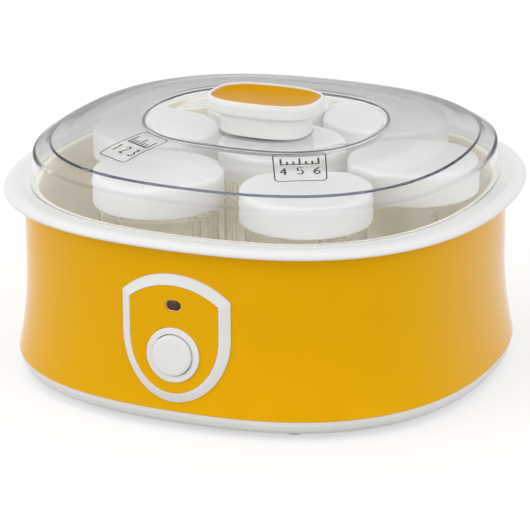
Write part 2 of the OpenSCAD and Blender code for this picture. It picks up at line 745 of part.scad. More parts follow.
// Glass jar with a rounded foot, a shallow neck and a lip for the cap
module jar(n) {
    neck_z = cap_foot - 1.5;
    color("azure", 0.5) at_jar(n) rotate_extrude() polygon([
        [0, jar_bottom], [jar_r - 5, jar_bottom], [jar_r - 2, jar_bottom + 0.9],
        [jar_r - 0.5, jar_bottom + 3], [jar_r, jar_bottom + 6],
        [jar_r, neck_z - 2], [jar_r - 0.4, neck_z], [jar_r - 1, neck_z + 1.5], [jar_r - 1, jar_top - 5.5],
        [lip_r, jar_top - 4], [lip_r, jar_top - 1.2], [lip_r - 0.9, jar_top],
        [neck_in + 0.6, jar_top], [neck_in, jar_top - 0.8], [neck_in, neck_z + 1],
        [jar_r - jar_wall, neck_z - 3], [jar_r - jar_wall, jar_bottom + jar_floor_t + 5],
        [jar_r - jar_wall - 1.5, jar_bottom + jar_floor_t + 1.5],
        [jar_r - jar_wall - 5, jar_bottom + jar_floor_t],
        [0, jar_bottom + jar_floor_t]]);
}

// White press-on cap with rounded edges
module cap(n) {
    color("white") at_jar(n) rotate_extrude() polygon([
        [0, cap_under], [cap_r - cap_wall, cap_under], [cap_r - cap_wall, cap_foot + 0.6],
        [cap_r - cap_wall + 0.6, cap_foot], [cap_r - 1.2, cap_foot], [cap_r - 0.3, cap_foot + 0.8],
        [cap_r, cap_foot + 2.2], [cap_r, cap_top - 3], [cap_r - 0.5, cap_top - 1.4],
        [cap_r - 1.5, cap_top - 0.4], [cap_r - 3, cap_top], [0, cap_top]]);
}

base_pan();
body_shell();
collar();
chamber();
heat_spreader();
heating_element();
heater_cover();
heater_screws();
thermostat();
thermal_fuse();
fuse_clip();
control_board();
push_switch();
led();
led_window();
control_panel();
panel_frame();
button_bezel();
power_button();
terminal_block();
cord_gland();
base_screws();
foot(foot_angles[0]);  // front_left_foot
foot(foot_angles[1]);  // front_right_foot
foot(foot_angles[2]);  // rear_left_foot
foot(foot_angles[3]);  // rear_right_foot
lid_shell();
knob_body();
knob_insert();
knob_washer();
knob_screw();
jar(1);  // jar_1
jar(2);  // jar_2
jar(3);  // jar_3
jar(4);  // jar_4
jar(5);  // jar_5
jar(6);  // jar_6
jar(7);  // jar_7
cap(1);  // cap_1
cap(2);  // cap_2
cap(3);  // cap_3
cap(4);  // cap_4
cap(5);  // cap_5
cap(6);  // cap_6
cap(7);  // cap_7
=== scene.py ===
"""Looks of the yogurt maker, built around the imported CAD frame.

Lengths in this file are in millimetres until a mesh is made, as in the part's source.
"""

import json
import math

import bmesh
import bpy
import numpy as np
from mathutils import Matrix, Vector


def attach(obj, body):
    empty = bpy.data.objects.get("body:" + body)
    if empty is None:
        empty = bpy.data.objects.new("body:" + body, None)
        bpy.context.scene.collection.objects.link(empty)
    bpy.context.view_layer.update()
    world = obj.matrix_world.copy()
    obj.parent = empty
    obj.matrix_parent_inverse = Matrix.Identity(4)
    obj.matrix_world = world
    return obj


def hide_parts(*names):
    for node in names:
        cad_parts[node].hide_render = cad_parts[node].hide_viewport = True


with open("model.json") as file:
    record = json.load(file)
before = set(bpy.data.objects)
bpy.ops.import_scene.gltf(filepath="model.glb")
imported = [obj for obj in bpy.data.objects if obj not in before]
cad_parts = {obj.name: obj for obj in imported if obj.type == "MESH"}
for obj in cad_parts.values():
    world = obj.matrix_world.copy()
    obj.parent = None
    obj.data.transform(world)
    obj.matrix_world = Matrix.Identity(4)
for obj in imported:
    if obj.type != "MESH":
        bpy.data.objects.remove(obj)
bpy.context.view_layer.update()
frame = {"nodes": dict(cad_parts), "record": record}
scene = bpy.context.scene
MM = 0.001

# ---------------------------------------------------------------- camera

CAMERA_DISTANCE = 1597
CAMERA_ELEVATION = math.radians(19.526)
CAMERA_AZIMUTH = math.radians(23.003)
CAMERA_ROLL = math.radians(-0.37)
FOCAL_PIXELS = 3008
PICTURE = 530
SENSOR = 36
TARGET = Vector((0, 0, 48.7))
TARGET_OFF_CENTRE = 2.1


def make_camera():
    flat = CAMERA_DISTANCE * math.cos(CAMERA_ELEVATION)
    place = TARGET + Vector((
        flat * math.sin(CAMERA_AZIMUTH),
        -flat * math.cos(CAMERA_AZIMUTH),
        CAMERA_DISTANCE * math.sin(CAMERA_ELEVATION),
    ))
    ahead = (TARGET - place).normalized()
    right = ahead.cross(Vector((0, 0, 1))).normalized()
    up = right.cross(ahead)
    rolled_right = right * math.cos(CAMERA_ROLL) + up * math.sin(CAMERA_ROLL)
    rolled_up = up * math.cos(CAMERA_ROLL) - right * math.sin(CAMERA_ROLL)
    data = bpy.data.cameras.new("camera")
    data.sensor_width = SENSOR
    data.lens = FOCAL_PIXELS / PICTURE * SENSOR
    data.shift_x = -TARGET_OFF_CENTRE / PICTURE
    data.clip_end = 100
    camera = bpy.data.objects.new("camera", data)
    scene.collection.objects.link(camera)
    turn = Matrix((rolled_right, rolled_up, -ahead)).transposed().to_4x4()
    camera.matrix_world = Matrix.Translation(place * MM) @ turn
    scene.camera = camera


# ---------------------------------------------------------------- materials


class Tree:
    """The node tree of a material or world, with short ways to add and link nodes."""

    def __init__(self, owner, output="ShaderNodeOutputMaterial"):
        owner.use_nodes = True
        self.owner = owner
        self.nodes = owner.node_tree.nodes
        self.links = owner.node_tree.links
        self.nodes.clear()
        self.output = self.add(output)

    def add(self, kind, **values):
        node = self.nodes.new(kind)
        for key, value in values.items():
            setattr(node, key, value)
        return node

    def link(self, source, target):
        self.links.new(source, target)

    def finish(self, surface):
        self.link(surface, self.output.inputs["Surface"])
        return self.owner

    def any_ray(self, *kinds):
        """1 for a light path of any of these kinds, else 0."""
        path = self.add("ShaderNodeLightPath")
        found = path.outputs[f"Is {kinds[0]} Ray"]
        for kind in kinds[1:]:
            either = self.add("ShaderNodeMath", operation="MAXIMUM")
            self.link(found, either.inputs[0])
            self.link(path.outputs[f"Is {kind} Ray"], either.inputs[1])
            found = either.outputs[0]
        return found

    def mix(self, factor, first, second):
        """The second shader where the factor is 1."""
        node = self.add("ShaderNodeMixShader")
        for source, target in zip((factor, first, second), node.inputs):
            self.link(source, target)
        return node.outputs[0]

    def noise(self, size, detail, stretch=(1, 1, 1)):
        """Noise whose patches are about size millimetres across, from 0 to 1."""
        place = self.add("ShaderNodeTexCoord")
        mapping = self.add("ShaderNodeMapping")
        mapping.inputs["Scale"].default_value = [s / (size * MM) for s in stretch]
        noise = self.add("ShaderNodeTexNoise")
        noise.inputs["Scale"].default_value = 1.0
        noise.inputs["Detail"].default_value = detail
        self.link(place.outputs["Object"], mapping.inputs["Vector"])
        self.link(mapping.outputs["Vector"], noise.inputs["Vector"])
        return noise.outputs["Fac"]

    def spread(self, source, low, high):
        """source from 0.3..0.7 to low..high."""
        node = self.add("ShaderNodeMapRange")
        node.inputs["From Min"].default_value = 0.3
        node.inputs["From Max"].default_value = 0.7
        node.inputs["To Min"].default_value = low
        node.inputs["To Max"].default_value = high
        self.link(source, node.inputs["Value"])
        return node.outputs["Result"]

    def blend(self, factor, first, second):
        node = self.add("ShaderNodeMix", data_type="RGBA")
        self.link(factor, node.inputs[0])
        node.inputs[6].default_value = (*first, 1)
        node.inputs[7].default_value = (*second, 1)
        return node.outputs[2]

    def bump(self, source, height, normal=None):
        """A bump node whose full swing is height millimetres."""
        node = self.add("ShaderNodeBump")
        node.inputs["Strength"].default_value = 1.0
        node.inputs["Distance"].default_value = height * MM
        self.link(source, node.inputs["Height"])
        if normal is not None:
            self.link(normal, node.inputs["Normal"])
        return node.outputs["Normal"]


MATERIALS = {}
# The gloss of a surface wanders by this share
GLOSS_DRIFT = 0.12
COAT_ROUGHNESS, SUBSURFACE_DEPTH = 0.05, 2.5
CLEAR_ROUGHNESS, CLEAR_WAVE = 0.012, 0.004
# Patch size and detail of the slow waves and the fine grain, and the stretched streaks of haze
SOLID_SWELL, CLEAR_SWELL, CLEAR_GRAIN = (26, 1), (30, 1), (3, 2)
HAZE_STREAKS = (34, 3, (0.35, 1.6, 1))


def solid(name, colour, rough, *, vary=0.04, grain=0.02, grain_size=1.2, wave=0.0, metal=0.0,
          specular=0.5, gloss_tint=None, coat=0.0, subsurface=0.0, patch=45, stretch=(1, 1, 1)):
    """Moulded, pressed or painted surface: colour drift, uneven gloss and a fine relief."""
    tree = Tree(bpy.data.materials.new(name))
    shader = tree.add("ShaderNodeBsdfPrincipled")
    drift = tree.noise(patch, 4, stretch)
    darker = tuple(c * (1 - vary) for c in colour)
    lighter = tuple(min(1.0, c * (1 + vary)) for c in colour)
    tree.link(tree.blend(tree.spread(drift, 0, 1), darker, lighter), shader.inputs["Base Color"])
    fine = tree.noise(grain_size, 2, stretch)
    gloss = tree.spread(fine, rough * (1 - GLOSS_DRIFT), rough * (1 + GLOSS_DRIFT))
    tree.link(gloss, shader.inputs["Roughness"])
    normal = tree.bump(fine, grain)
    if wave:
        normal = tree.bump(tree.noise(*SOLID_SWELL), wave, normal)
    tree.link(normal, shader.inputs["Normal"])
    shader.inputs["Metallic"].default_value = metal
    shader.inputs["Specular IOR Level"].default_value = specular
    if gloss_tint:
        shader.inputs["Specular Tint"].default_value = (*gloss_tint, 1)
    if coat:
        shader.inputs["Coat Weight"].default_value = coat
        shader.inputs["Coat Roughness"].default_value = COAT_ROUGHNESS
    if subsurface:
        shader.inputs["Subsurface Weight"].default_value = subsurface
        shader.inputs["Subsurface Radius"].default_value = (1, 1, 1)
        shader.inputs["Subsurface Scale"].default_value = SUBSURFACE_DEPTH * MM
    MATERIALS[name] = tree.finish(shader.outputs[0])


def clear(name, tint, *, ior, lamp_tint, slanting=None, graze=None, passing=None):
    """Clear plastic or glass. Lamps and scattered light pass through it unbent.

    slanting is the tint at a slant, painted shade that darkens the surface edge-on, reached over the
    facing range graze. passing is the range over which streaks of haze change how much light gets through.
    """
    tree = Tree(bpy.data.materials.new(name))
    shader = tree.add("ShaderNodeBsdfPrincipled")
    shader.inputs["Base Color"].default_value = (*tint, 1)
    if slanting:
        weight = tree.add("ShaderNodeLayerWeight")
        edge_on = tree.add("ShaderNodeMapRange", interpolation_type="SMOOTHSTEP")
        edge_on.inputs["From Min"].default_value, edge_on.inputs["From Max"].default_value = graze
        tree.link(weight.outputs["Facing"], edge_on.inputs["Value"])
        tree.link(tree.blend(edge_on.outputs["Result"], tint, slanting), shader.inputs["Base Color"])
    shader.inputs["Transmission Weight"].default_value = 1.0
    if passing:
        streaks = tree.noise(*HAZE_STREAKS)
        tree.link(tree.spread(streaks, *passing), shader.inputs["Transmission Weight"])
    shader.inputs["IOR"].default_value = ior
    tree.link(tree.spread(tree.noise(*CLEAR_GRAIN), 0, CLEAR_ROUGHNESS), shader.inputs["Roughness"])
    tree.link(tree.bump(tree.noise(*CLEAR_SWELL), CLEAR_WAVE), shader.inputs["Normal"])
    unbent = tree.add("ShaderNodeBsdfTransparent")
    unbent.inputs["Color"].default_value = (lamp_tint, lamp_tint, lamp_tint, 1)
    lit = tree.any_ray("Shadow", "Diffuse")
    MATERIALS[name] = tree.finish(tree.mix(lit, shader.outputs[0], unbent.outputs[0]))


YELLOW = (0.79, 0.4, 0.002)
YELLOW_GLOSS = (1, 0.7, 0.05)
LID_IOR, LID_HAZE = 1.24, (0.89, 0.95)

solid("shell_yellow", YELLOW, 0.14, vary=0.02, grain=0.0012, grain_size=0.9, wave=0.012, specular=0.4,
      gloss_tint=YELLOW_GLOSS)
# The insert's yellow is darker than the shell's: partly painted shade of the dish sunk under the knob's
# rim
solid("insert_yellow", (0.63, 0.3, 0.0015), 0.3, vary=0.02, grain=0.002, specular=0.15,
      gloss_tint=YELLOW_GLOSS)
solid("white_plastic", (0.79, 0.79, 0.78), 0.32, vary=0.015, grain=0.003, grain_size=0.8, specular=0.4)
solid("base_white", (0.8, 0.8, 0.79), 0.38, vary=0.02, grain=0.004, specular=0.35)
# The chamber's warm beige is partly its own colour and partly painted warm bounce light from the yellow
# shell
solid("chamber_plastic", (0.93, 0.865, 0.7), 0.42, vary=0.015, grain=0.006, patch=30, specular=0.4)
solid("cap_plastic", (0.79, 0.79, 0.79), 0.36, vary=0.02, grain=0.004, specular=0.4, subsurface=1.0)
# Edge-on the clear lid darkens to near black: painted shade at a slant
clear("lid_clear", (0.95, 0.955, 0.96), slanting=(0.03, 0.032, 0.036), graze=(0.5, 0.9), ior=LID_IOR,
      passing=LID_HAZE, lamp_tint=1)
# Near-black strips along the lid's rims: a painted dark line of shade on the clear plastic
clear("lid_edge", (0.06, 0.07, 0.1), ior=1.2, lamp_tint=0.7)
# A greyer strip at the skirt's step that goes dark edge-on: a painted line of shade
clear("lid_step", (0.8, 0.81, 0.83), slanting=(0.015, 0.018, 0.03), graze=(0.5, 0.7), ior=1.2,
      lamp_tint=0.9)
clear("lid_wall", (0.93, 0.935, 0.94), ior=LID_IOR, passing=LID_HAZE, lamp_tint=1)
clear("jar_glass", (0.99, 0.998, 0.995), ior=1.4, lamp_tint=1)
solid("print_grey", (0.006, 0.0065, 0.008), 0.6, vary=0.1, grain=0.001)
solid("foot_rubber", (0.6, 0.6, 0.59), 0.75, vary=0.05, grain=0.02, specular=0.25)
solid("heater_aluminium", (0.72, 0.73, 0.74), 0.34, vary=0.05, grain=0.008, metal=1.0, grain_size=0.5,
      stretch=(1, 12, 1))
solid("steel", (0.56, 0.57, 0.58), 0.3, vary=0.06, grain=0.004, metal=1.0, patch=12)
solid("element_sheath", (0.2, 0.18, 0.17), 0.5, vary=0.2, grain=0.01, metal=0.8, patch=9)
solid("ceramic", (0.78, 0.73, 0.64), 0.55, vary=0.05, grain=0.02, patch=6)
solid("board_green", (0.02, 0.14, 0.06), 0.4, vary=0.15, grain=0.005, patch=4, coat=0.4)
solid("switch_black", (0.03, 0.03, 0.032), 0.45, vary=0.15, grain=0.01, patch=8)
solid("lamp_red", (0.55, 0.04, 0.02), 0.15, vary=0.08, grain=0.001, subsurface=0.3)
solid("window_brown", (0.058, 0.026, 0.018), 0.16, vary=0.1, grain=0.001, patch=5, specular=0.3)
# The pale cream of the indicator's lip is a painted highlight round the window's edge
solid("window_rim_highlight", (0.88, 0.78, 0.5), 0.3, vary=0.03, grain=0.002)

# ---------------------------------------------------------------- mesh helpers

ROUND_PLAN = (0.0, 0.0)
BODY_PLAN = (0.026, 0.030)
RECESS_PLAN = (0.08, 0.030)
KNOB_PLAN = (1.21, 0.79, 2.75)


def share(plan, angle):
    """Share of the mean radius at an angle, as in the part's source."""
    if len(plan) == 2:
        return 1 + plan[0] * np.cos(2 * angle) - plan[1] * np.cos(4 * angle)
    across = np.abs(np.cos(angle)) / plan[0]
    deep = np.abs(np.sin(angle)) / plan[1]
    return (across ** plan[2] + deep ** plan[2]) ** (-1 / plan[2])


def new_object(name, vertices, faces, material, sharp=35):
    mesh = bpy.data.meshes.new(name)
    mesh.from_pydata([tuple(v) for v in np.asarray(vertices, float) * MM], [], faces)
    shape = bmesh.new()
    shape.from_mesh(mesh)
    bmesh.ops.recalc_face_normals(shape, faces=shape.faces)
    shape.to_mesh(mesh)
    shape.free()
    smooth(mesh, sharp)
    mesh.materials.append(MATERIALS[material])
    made = bpy.data.objects.new(name, mesh)
    scene.collection.objects.link(made)
    return made


def smooth(mesh, sharp):
    mesh.polygons.foreach_set("use_smooth", [True] * len(mesh.polygons))
    if sharp:
        mesh.set_sharp_from_angle(angle=math.radians(sharp))


def rounded(corners, closed=True, steps=6, plan=BODY_PLAN):
    """Rows [radius, height, *plan] from corners (radius, height, fillet[, plan[, slot]])."""
    points = [np.array([c[0], c[1], *(c[3] if len(c) > 3 else plan)], float) for c in corners]
    count = len(points)
    rows = []
    for i, point in enumerate(points):
        fillet = corners[i][2]
        if fillet == 0 or (not closed and i in (0, count - 1)):
            rows.append(point)
            continue
        before, after = points[i - 1] - point, points[(i + 1) % count] - point
        long_before, long_after = np.linalg.norm(before[:2]), np.linalg.norm(after[:2])
        turn = math.acos(np.clip(before[:2] @ after[:2] / (long_before * long_after), -1, 1))
        reach = fillet / math.tan(max(turn / 2, 1e-3))
        start = point + before * min(reach / long_before, 0.49)
        end = point + after * min(reach / long_after, 0.49)
        for k in range(steps + 1):
            t = k / steps
            rows.append(start * (1 - t) ** 2 + point * 2 * t * (1 - t) + end * t ** 2)
    return np.array(rows)


def fillet_slots(corners, steps):
    """Material slot of the strip that starts at each row of a closed, rounded profile."""
    marks = [corner[4] if len(corner) > 4 else 0 for corner in corners]
    slots = []
    for at, corner in enumerate(corners):
        after = marks[at] if marks[at] == marks[(at + 1) % len(marks)] else 0
        slots += [marks[at]] * steps + [after] if corner[2] else [after]
    return slots


def turned(name, rows, material, closed=True, steps=192, sharp=35, centre=(0, 0)):
    """Turns profile rows around the plan outline. An open profile ends on its axis points."""
    rows = np.asarray(rows, float)
    count = len(rows)
    angles = np.arange(steps) * 2 * math.pi / steps
    vertices, index = [], np.zeros((count, steps), int)
    for j, (radius, height, *plan) in enumerate(rows):
        if radius < 1e-6:
            index[j] = len(vertices)
            vertices.append((centre[0], centre[1], height))
            continue
        reach = radius * share(plan, angles)
        index[j] = len(vertices) + np.arange(steps)
        ring = np.stack([reach * np.cos(angles) + centre[0], reach * np.sin(angles) + centre[1],
                         np.full(steps, height)], 1)
        vertices.extend(ring.tolist())
    faces = []
    for j in range(count if closed else count - 1):
        k = (j + 1) % count
        for i in range(steps):
            n = (i + 1) % steps
            face = [index[j, i], index[j, n], index[k, n], index[k, i]]
            face = [v for at, v in enumerate(face) if v != face[at - 1]]
            if len(face) > 2:
                faces.append(face)
    return new_object(name, vertices, faces, material, sharp)


def ring_spots(radius, degrees):
    """Points round the axis, in plan."""
    return [(radius * math.cos(math.radians(a)), radius * math.sin(math.radians(a))) for a in degrees]


def block(low, high):
    """A plain box, used only to cut or join."""
    vertices = [(x, y, z) for x in (low[0], high[0]) for y in (low[1], high[1])
                for z in (low[2], high[2])]
    faces = [(0, 1, 3, 2), (4, 6, 7, 5), (0, 4, 5, 1), (2, 3, 7, 6), (0, 2, 6, 4), (1, 5, 7, 3)]
    return new_object("tool", vertices, faces, "white_plastic", 0)


def rod(radius, low, high, centre=(0, 0), steps=64):
    """A plain cylinder along Z, used only to cut or join."""
    rows = [(0, low, 0, 0), (radius, low, 0, 0), (radius, high, 0, 0), (0, high, 0, 0)]
    return turned("tool", rows, "white_plastic", False, steps, 0, centre)


def combine(target, tool, operation, sharp=35):
    """Cuts the tool from the target, or joins it on, and deletes the tool."""
    change = target.modifiers.new("change", "BOOLEAN")
    change.operation = operation
    change.solver = "EXACT"
    change.object = tool
    bpy.context.view_layer.update()
    result = bpy.data.meshes.new_from_object(
        target.evaluated_get(bpy.context.evaluated_depsgraph_get()))
    target.modifiers.clear()
    target.data = result
    smooth(result, sharp)
    bpy.data.objects.remove(tool)


def stand_for(piece, body, slot, *nodes):
    """The piece rides on a body and stands for CAD nodes."""
    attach(piece, body)
    if nodes:
        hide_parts(*nodes)


# ---------------------------------------------------------------- sizes shared with the part

FOOT_H, BASE_TOP, BASE_INSIDE, BODY_TOP, SEAT = 3.5, 11.0, 6.0, 97.2, 100.8
JAR_STAND, JAR_BOTTOM, JAR_TOP, CAP_UNDER, CAP_TOP, CAP_FOOT = 30.0, 30.1, 115.4, 115.7, 117.5, 101.7
SKIRT_TOP, LID_EDGE, RING_TOP, RECESS_FLOOR, KNOB_TOP = 117.3, 122.9, 130.0, 123.4, 143.1
WAIST_R, WAIST_H, FLARE, WALL = 123.604, 47.0, 5.2, 2.4
WAIST = BASE_TOP + WAIST_H
CHAMBER_R, CHAMBER_FLOOR_R, CHAMBER_WALL = 115.504, 113.504, 2.0
FLANGE_R, COLLAR_IN, COLLAR_R, COLLAR_LIP = 119.504, 117.904, 134.204, 5.2
LID_R, SKIRT_TOP_R, LID_TOP_R, LID_WALL = 120.704, 118.804, 110.004, 2.0
RECESS_R, DOME_H = 60.2, 7.1
KNOB_R, NECK_R, RIM_H, RIM_EDGE, INSERT_DIP, INSERT_T = 25.2, 20.0, 8.6, 1.5, 4.6, 1.3
BUTTON_Z = BASE_TOP + 29.7
LED_RISE = 25.6
PANEL_T = 3.0
FRAME_BAND = 5.2
HAIR = 0.1
SCREW_POSTS = ring_spots(96, (30, 150, 210, 330))
FOOT_SPOTS = ring_spots(111, (60, 120, 240, 300))
GLAND_Z = BASE_TOP + 14.5
JAR_SPOTS = [(-63.5, 0), (9, 0), (81.5, 0), (-31.5, -66.5), (49.5, -66.5), (-25, 63), (43, 63)]


def body_r(height):
    return WAIST_R + FLARE * (max(0.0, WAIST - height) / WAIST_H) ** 2


def wall_lean(height):
    slope = 2 * FLARE * max(0.0, WAIST - height) / WAIST_H ** 2
    return math.atan(slope * share(BODY_PLAN, math.pi / 2))


def on_wall(angle, height):
    """Matrix with +Z out of the shell's wall and +Y up along it, in millimetres."""
    reach = body_r(height) * share(BODY_PLAN, angle)
    place = Matrix.Translation((reach * math.cos(angle), reach * math.sin(angle), height))
    lean = math.pi / 2 - wall_lean(height)
    return place @ Matrix.Rotation(angle + math.pi / 2, 4, "Z") @ Matrix.Rotation(lean, 4, "X")


FRONT = on_wall(math.radians(270), BUTTON_Z)
GLAND_PLACE = on_wall(math.radians(90), GLAND_Z)


def settle(piece, matrix):
    """Moves a mesh made about the origin to a place given in millimetres."""
    moved = matrix.copy()
    moved.translation = matrix.translation * MM
    piece.data.transform(moved)
    return piece


# ---------------------------------------------------------------- housing


def make_shell():
    heights = BASE_TOP + (BODY_TOP - BASE_TOP) * np.linspace(1, 0, 44)
    outer = [(body_r(z), z, *BODY_PLAN) for z in heights]
    inner = [(body_r(z) - WALL, z, *BODY_PLAN) for z in heights[::-1]]
    shell = turned("shell", outer[:-1] + [(body_r(BASE_TOP + 0.4), BASE_TOP + 0.4, *BODY_PLAN),
                                          (body_r(BASE_TOP) - 0.4, BASE_TOP, *BODY_PLAN)] + inner,
                   "shell_yellow", steps=240)
    window = settle(block((-15.5, -14.5, -7), (15.5, 31, 7)), FRONT)
    combine(shell, window, "DIFFERENCE")
    combine(shell, settle(rod(6, -8, 8), GLAND_PLACE), "DIFFERENCE")
    stand_for(shell, "housing", "shell_yellow", "body_shell")


def make_base():
    lip_out = body_r(BASE_TOP + 5) - WALL - 0.4
    lip_in = lip_out - WALL
    band = 128.3
    foot = 124.604
    pan = turned("base", rounded([
        (0, BASE_INSIDE, 0), (lip_in, BASE_INSIDE, 1), (lip_in, BASE_TOP + 5, 0.4),
        (lip_out, BASE_TOP + 5, 0.4), (lip_out, BASE_TOP, 0), (band, BASE_TOP, 0.5),
        (band - 0.3, 8.4, 3), (band - 1.1, 6.1, 3), (band - 2.3, 4.4, 3), (foot, FOOT_H, 0.6),
        (0, FOOT_H, 0)], closed=False),
        "base_white", closed=False, steps=240)
    for spot in SCREW_POSTS:
        combine(pan, rod(6, BASE_INSIDE - 1, BASE_INSIDE + 3, spot, 40), "UNION")
        combine(pan, rod(3.5, 2, FOOT_H + 3.1, spot, 40), "DIFFERENCE")
        combine(pan, rod(1.8, 2, 12, spot, 32), "DIFFERENCE")
    for spot in FOOT_SPOTS:
        combine(pan, rod(2.6, 2, 8, spot, 32), "DIFFERENCE")
    stand_for(pan, "housing", "white_plastic", "base_pan")


def make_collar():
    ledge = SEAT - 2.1
    ring = turned("collar", rounded([
        (COLLAR_IN, ledge, 0.3), (FLANGE_R, ledge, 0.2), (FLANGE_R, SEAT, 0.2), (LID_R + 2, SEAT, 2),
        (COLLAR_R - 6.5, SEAT + 0.9, 6), (COLLAR_R - 3.2, SEAT + 0.6, 3),
        (COLLAR_R - 1, SEAT - 0.5, 1.5), (COLLAR_R, SEAT - 1.9, 1.2),
        (COLLAR_R - 0.4, SEAT - 3.0, 1), (COLLAR_R - 1.8, BODY_TOP, 0.4),
        (COLLAR_IN + 2.9, BODY_TOP, 0.2), (COLLAR_IN + 2.9, BODY_TOP - COLLAR_LIP, 0.3),
        (COLLAR_IN, BODY_TOP - COLLAR_LIP, 0.3)]), "white_plastic", steps=240)
    stand_for(ring, "housing", "white_plastic", "collar")


def make_chamber():
    low, under = CHAMBER_FLOOR_R, JAR_STAND - CHAMBER_WALL
    tub = turned("chamber", rounded([
        (0, JAR_STAND, 0), (low - 3.2, JAR_STAND, 1.5), (low, JAR_STAND + 3, 2.5),
        (CHAMBER_R - 0.2, SEAT - 3, 4), (CHAMBER_R + 0.3, SEAT - 0.2, 1.2),
        (CHAMBER_R + 1.2, SEAT, 0.6), (FLANGE_R - HAIR, SEAT, 0.3),
        (FLANGE_R - HAIR, SEAT - 2, 0.2), (CHAMBER_R + 2, SEAT - 2, 0.4), (CHAMBER_R + 1.8, SEAT - 5, 2),
        (low + 2, JAR_STAND + 4, 3), (low + 0.2, JAR_STAND - 0.6, 2), (low - 5, under, 3), (0, under, 0)],
        closed=False), "chamber_plastic", closed=False, steps=240)
    front = float(body_r(BUTTON_Z) * share(BODY_PLAN, math.pi * 1.5))
    top = BUTTON_Z + LED_RISE + 11.4
    combine(tub, block((-18, -front + 8, under), (18, -front + 19, top)), "UNION")
    for spot in SCREW_POSTS:
        combine(tub, rod(4.5, BASE_INSIDE + 3.1, under + 0.5, spot, 40), "UNION")
    combine(tub, block((-16, -front - 5, 0), (16, -front + 17, top - 2)), "DIFFERENCE")
    stand_for(tub, "housing", "chamber_plastic", "chamber")


def make_gland():
    gland = settle(turned("cord_entry", rounded([
        (3.1, -10, 0.3), (5.8, -10, 0.3), (7, -7.5, 0.3), (7, -WALL - 0.6, 0.2), (5.8, -WALL - 0.6, 0),
        (5.8, 0.4, 0), (7.8, 0.4, 0.3), (7.8, 2.8, 1.2), (3.1, 2.8, 0.7)],
        plan=ROUND_PLAN), "white_plastic", steps=64), GLAND_PLACE)
    stand_for(gland, "housing", "white_plastic", "cord_gland")


# ---------------------------------------------------------------- control panel

FRAME_W, FRAME_TOP, FRAME_ARCH, FRAME_BEND, FRAME_FOOT = 29.3, 71.5, 11.9, 39.0, 5.0


def shield(inset, count=60):
    """The panel's outline, drawn in from its outer edge, as (x, height)."""
    width = FRAME_W - inset
    top = BASE_TOP + FRAME_TOP - inset
    corner = top - FRAME_ARCH + inset * 0.6
    bend, foot = BASE_TOP + FRAME_BEND, BASE_TOP + FRAME_FOOT + inset
    rise = top - corner
    arc = (width * width + rise * rise) / (2 * rise)
    half = []
    for i in range(count + 1):
        t = i / count
        if t < 0.4:
            turn = math.asin(width / arc) * t / 0.4
            half.append((arc * math.sin(turn), top - arc + arc * math.cos(turn)))
        elif t < 0.6:
            half.append((width, corner + (bend - corner) * (t - 0.4) / 0.2))
        else:
            turn = math.pi / 2 * (t - 0.6) / 0.4
            half.append((width * math.cos(turn), bend - (bend - foot) * math.sin(turn)))
    return np.array(half[:-1] + [(-x, z) for x, z in half[:0:-1]])


def proud_point(x, height, proud):
    """A point a given distance in front of the shell's front wall."""
    front = share(BODY_PLAN, math.pi * 1.5)
    reach = body_r(height) + proud / front
    turn = math.asin(x / (reach * front))
    turn = math.asin(x / (reach * share(BODY_PLAN, math.pi * 1.5 + turn)))
    return (x, -reach * share(BODY_PLAN, math.pi * 1.5 + turn) * math.cos(turn), height)


def bands(count, rings, closed):
    """Quads between neighbouring rings of count points."""
    faces = []
    for k in range(rings if closed else rings - 1):
        n = (k + 1) % rings
        for i in range(count):
            j = (i + 1) % count
            faces.append((k * count + i, k * count + j, n * count + j, n * count + i))
    return faces


